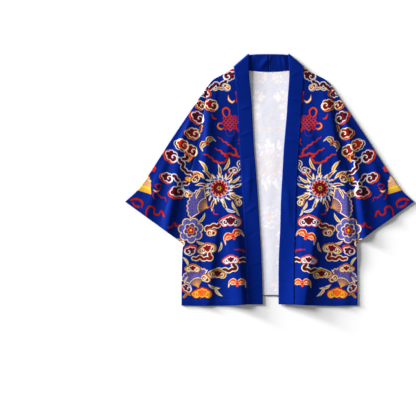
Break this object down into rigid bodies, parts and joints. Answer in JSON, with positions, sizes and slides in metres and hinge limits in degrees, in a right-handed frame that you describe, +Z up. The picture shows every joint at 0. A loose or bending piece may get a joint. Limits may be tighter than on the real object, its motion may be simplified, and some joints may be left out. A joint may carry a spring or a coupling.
{
  "type": "kimono cardigan",
  "caption": "Open-front kimono cardigan laid flat face up, with wide sleeves, a plain doubled neckband and an all-over printed cloth.",
  "frame": {"origin": "on the floor under the middle of the garment's outline", "axes": "+X from the middle towards the sleeve on the right of the picture, +Y from hem to neckband, +Z up from the floor, out of the fronts"},
  "size_m": [0.866, 0.7561, 0.009],
  "materials": {
    "printed_cloth": "woven polyester with a soft satin face, royal blue printed all over",
    "band_cloth": "woven polyester with a soft satin face, plain royal blue"
  },
  "bodies": {
    "root": {"back": "printed_cloth", "front_right": "printed_cloth", "front_left": "printed_cloth", "sleeve_right": "printed_cloth", "sleeve_left": "printed_cloth", "neckband_right": "band_cloth", "neckband_left": "band_cloth"}
  },
  "joints": []
}
